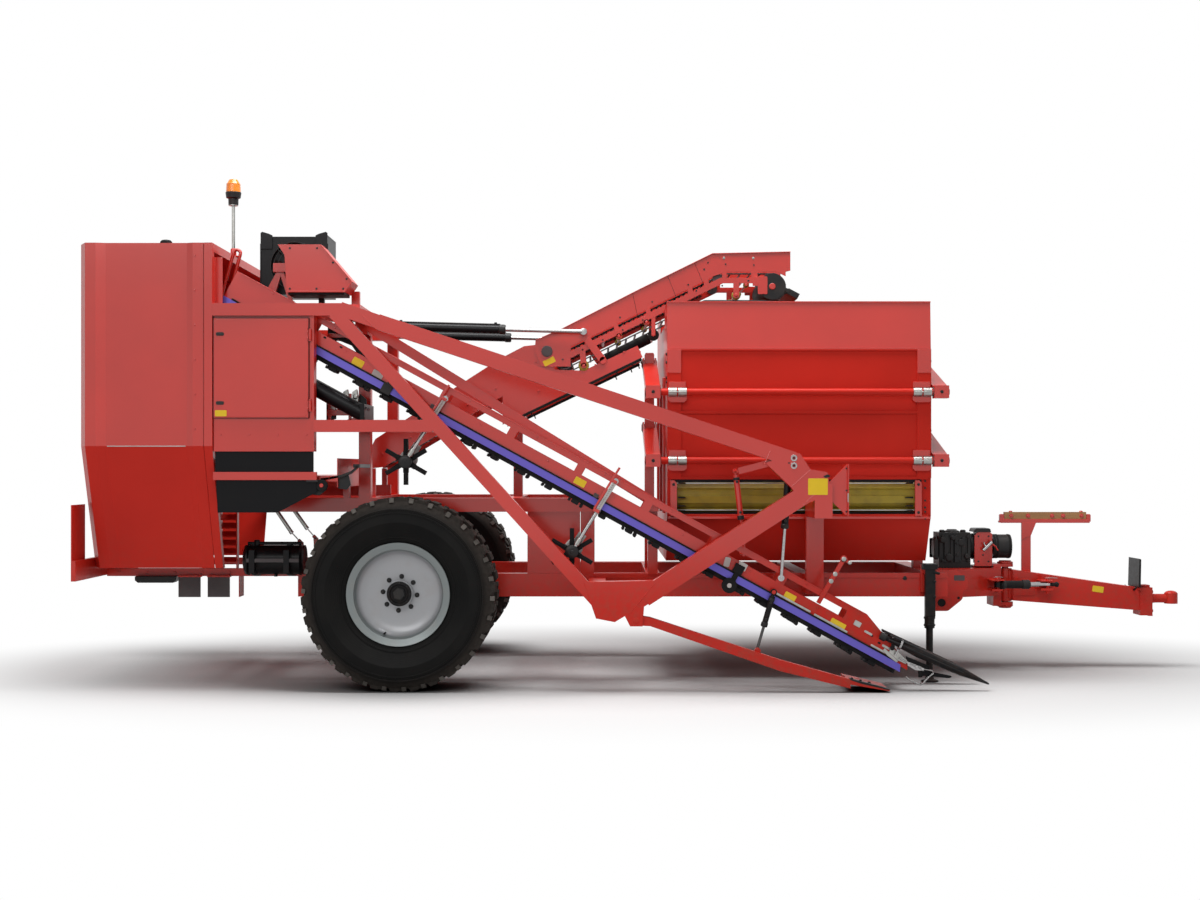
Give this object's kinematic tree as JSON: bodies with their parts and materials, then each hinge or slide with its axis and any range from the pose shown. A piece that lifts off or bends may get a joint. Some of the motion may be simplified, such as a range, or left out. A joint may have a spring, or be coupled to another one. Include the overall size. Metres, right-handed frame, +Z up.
{
  "type": "trailed top-lifting root harvester",
  "caption": "Towed root harvester with a slanting belt lifting unit, rear hood, folding elevator, liftable bunker, share and parking jack.",
  "frame": {"origin": "on the ground at the middle of the overall length and width", "axes": "+X forward to the tow coupling, +Y to the machine's left, +Z up"},
  "size_m": [8.042, 3, 3.638],
  "materials": {
    "red_paint": "satin",
    "black_paint": "satin",
    "violet_guard": "satin",
    "tyre": "matt",
    "rim_grey": "satin",
    "rubber": "matt",
    "chrome": "polished",
    "steel": "satin",
    "slat_yellow": "satin",
    "amber": "gloss",
    "plank_brown": "satin",
    "cast": "rough"
  },
  "bodies": {
    "chassis": {"main_frame": "red_paint", "upper_frame": "red_paint", "hopper_posts": "red_paint", "axle": "black_paint", "side_truss": "red_paint", "rear_hood": "red_paint", "rear_carrier": "red_paint", "cabinet": "red_paint", "side_curtains": "rubber", "curtain_rail": "red_paint", "topper": "black_paint", "cross_conveyor": "red_paint", "elevator_base": "red_paint", "base_web": "steel", "base_rollers": "steel", "fold_brackets": "red_paint", "cooler": "black_paint", "top_housing": "red_paint", "beacon_post": "black_paint", "beacon_lens": "amber", "oil_tank": "red_paint", "valve_case": "black_paint", "pump_drive": "cast", "input_shaft": "steel", "jack_tube": "black_paint"},
    "wheel_right": {"tyre_right": "tyre", "rim_right": "rim_grey"},
    "wheel_left": {"tyre_left": "tyre", "rim_left": "rim_grey"},
    "door": {"cabinet_door": "red_paint"},
    "lifting_unit": {"lifter_frame": "red_paint", "lifter_belts": "rubber", "lifter_guards": "violet_guard", "star_hangers": "chrome", "crop_lifters": "black_paint"},
    "star_rotor_upper": {"star_upper": "rubber"},
    "star_rotor_lower": {"star_lower": "rubber"},
    "lift_cylinder_barrel": {"lift_barrel": "black_paint"},
    "lift_cylinder_rod": {"lift_rod": "chrome"},
    "strut_upper": {"strut_tube": "black_paint"},
    "strut_lower": {"strut_rod": "chrome"},
    "share": {"share_arm": "red_paint"},
    "depth_cylinder_barrel": {"depth_barrel": "black_paint"},
    "depth_cylinder_rod": {"depth_rod": "chrome"},
    "elevator_head": {"elevator_head": "red_paint", "head_web": "steel", "head_rollers": "rubber"},
    "fold_cylinder_barrels": {"fold_barrels": "black_paint"},
    "fold_cylinder_rods": {"fold_rods": "chrome"},
    "bunker_arms_lower": {"arms_lower": "red_paint"},
    "bunker_arms_upper": {"arms_upper": "red_paint"},
    "bunker": {"hopper_shell": "red_paint", "hopper_floor": "slat_yellow"},
    "drawbar": {"drawbar": "red_paint", "hose_plank": "plank_brown", "coupling": "red_paint"},
    "steer_cylinder_barrel": {"steer_barrel": "black_paint"},
    "steer_cylinder_rod": {"steer_rod": "chrome"},
    "jack": {"jack_leg": "black_paint"}
  },
  "joints": [
    {"name": "wheel_right_spin", "type": "hinge", "parent": "chassis", "child": "wheel_right", "pos_m": [-1.803, -1.2, 0.666], "axis": [0, 1, 0], "continuous": true},
    {"name": "wheel_left_spin", "type": "hinge", "parent": "chassis", "child": "wheel_left", "pos_m": [-1.803, 1.2, 0.666], "axis": [0, 1, 0], "continuous": true},
    {"name": "cabinet_door_open", "type": "hinge", "parent": "chassis", "child": "door", "pos_m": [-2.3955, -1.488, 2.2], "axis": [0, 0, 1], "range_deg": [0, 110]},
    {"name": "lifting_unit_lift", "type": "hinge", "parent": "chassis", "child": "lifting_unit", "pos_m": [-2.64424, -1.2, 2.61103], "axis": [0, -1, 0], "range_deg": [0, 4]},
    {"name": "star_upper_spin", "type": "hinge", "parent": "lifting_unit", "child": "star_rotor_upper", "pos_m": [-1.763, -1.3, 1.576], "axis": [0, 1, 0], "continuous": true},
    {"name": "star_lower_spin", "type": "hinge", "parent": "lifting_unit", "child": "star_rotor_lower", "pos_m": [-0.614, -1.3, 0.956], "axis": [0, 1, 0], "continuous": true},
    {"name": "lift_barrel_swing", "type": "hinge", "parent": "chassis", "child": "lift_cylinder_barrel", "pos_m": [0.88, -1.372, 1.547], "axis": [0, -1, 0], "range_deg": [0, 16]},
    {"name": "lift_rod_slide", "type": "slide", "parent": "lift_cylinder_barrel", "child": "lift_cylinder_rod", "axis": [-0.0699, 0, -0.9976], "range_m": [-0.26, 0]},
    {"name": "strut_swing", "type": "hinge", "parent": "chassis", "child": "strut_upper", "pos_m": [0.526, -1.2, 1.512], "axis": [0, -1, 0], "range_deg": [0, 26]},
    {"name": "strut_slide", "type": "slide", "parent": "strut_upper", "child": "strut_lower", "axis": [0.1116, 0, -0.9938], "range_m": [-0.2, 0]},
    {"name": "share_lift", "type": "hinge", "parent": "chassis", "child": "share", "pos_m": [-0.174, -1.455, 0.495], "axis": [0, -1, 0], "range_deg": [0, 12.5]},
    {"name": "depth_barrel_swing", "type": "hinge", "parent": "lifting_unit", "child": "depth_cylinder_barrel", "pos_m": [0.775, -1.372, 0.68], "axis": [0, -1, 0], "range_deg": [-14, 0]},
    {"name": "depth_rod_slide", "type": "slide", "parent": "depth_cylinder_barrel", "child": "depth_cylinder_rod", "axis": [-0.2769, 0, -0.9609], "range_m": [0, 0.12]},
    {"name": "bunker_lift", "type": "hinge", "parent": "chassis", "child": "bunker_arms_lower", "pos_m": [0, -0.05, 1.841], "axis": [-1, 0, 0], "range_deg": [0, 60]},
    {"name": "bunker_arms_upper_swing", "type": "hinge", "parent": "chassis", "child": "bunker_arms_upper", "pos_m": [0, -0.05, 2.33], "axis": [-1, 0, 0], "range_deg": [0, 61]},
    {"name": "bunker_level", "type": "hinge", "parent": "bunker_arms_lower", "child": "bunker", "pos_m": [0, -0.95, 1.586], "axis": [-1, 0, 0], "range_deg": [-61, 0]},
    {"name": "elevator_fold", "type": "hinge", "parent": "chassis", "child": "elevator_head", "pos_m": [-0.817, 0, 2.406], "axis": [0, -1, 0], "range_deg": [0, 76]},
    {"name": "fold_barrels_swing", "type": "hinge", "parent": "chassis", "child": "fold_cylinder_barrels", "pos_m": [-1.994, 0, 2.587], "axis": [0, -1, 0], "range_deg": [0, 9]},
    {"name": "fold_rods_slide", "type": "slide", "parent": "fold_cylinder_barrels", "child": "fold_cylinder_rods", "axis": [0.9997, 0, -0.0255], "range_m": [-0.35, 0]},
    {"name": "drawbar_steer", "type": "hinge", "parent": "chassis", "child": "drawbar", "pos_m": [2.695, 0, 0.64], "axis": [0, 0, 1], "range_deg": [-20, 20]},
    {"name": "steer_barrel_swing", "type": "hinge", "parent": "chassis", "child": "steer_cylinder_barrel", "pos_m": [2.58, -0.25, 0.652], "axis": [0, 0, 1], "range_deg": [-13.5, 13.5]},
    {"name": "steer_rod_slide", "type": "slide", "parent": "steer_cylinder_barrel", "child": "steer_cylinder_rod", "axis": [0.9919, 0.1272, 0], "range_m": [-0.09, 0.09]},
    {"name": "jack_raise", "type": "slide", "parent": "chassis", "child": "jack", "axis": [0, 0, 1], "range_m": [0, 0.35]}
  ],
  "couplings": [
    {"joint": "lift_barrel_swing", "follows": "lifting_unit_lift", "ratio": 3.07},
    {"joint": "lift_rod_slide", "follows": "lifting_unit_lift", "m_per_rad": -3.46},
    {"joint": "strut_swing", "follows": "lifting_unit_lift", "ratio": 5.97},
    {"joint": "strut_slide", "follows": "lifting_unit_lift", "m_per_rad": -2.61},
    {"joint": "share_lift", "follows": "lifting_unit_lift", "ratio": 3},
    {"joint": "depth_barrel_swing", "follows": "lifting_unit_lift", "ratio": -3.15},
    {"joint": "depth_rod_slide", "follows": "lifting_unit_lift", "m_per_rad": 1.42},
    {"joint": "bunker_arms_upper_swing", "follows": "bunker_lift", "ratio": 1},
    {"joint": "bunker_level", "follows": "bunker_lift", "ratio": -1},
    {"joint": "elevator_fold", "follows": "bunker_lift", "ratio": 1.25},
    {"joint": "fold_barrels_swing", "follows": "bunker_lift", "ratio": 0.12812},
    {"joint": "fold_rods_slide", "follows": "bunker_lift", "m_per_rad": -0.32087},
    {"joint": "steer_barrel_swing", "follows": "drawbar_steer", "ratio": 0.636},
    {"joint": "steer_rod_slide", "follows": "drawbar_steer", "m_per_rad": 0.232}
  ]
}
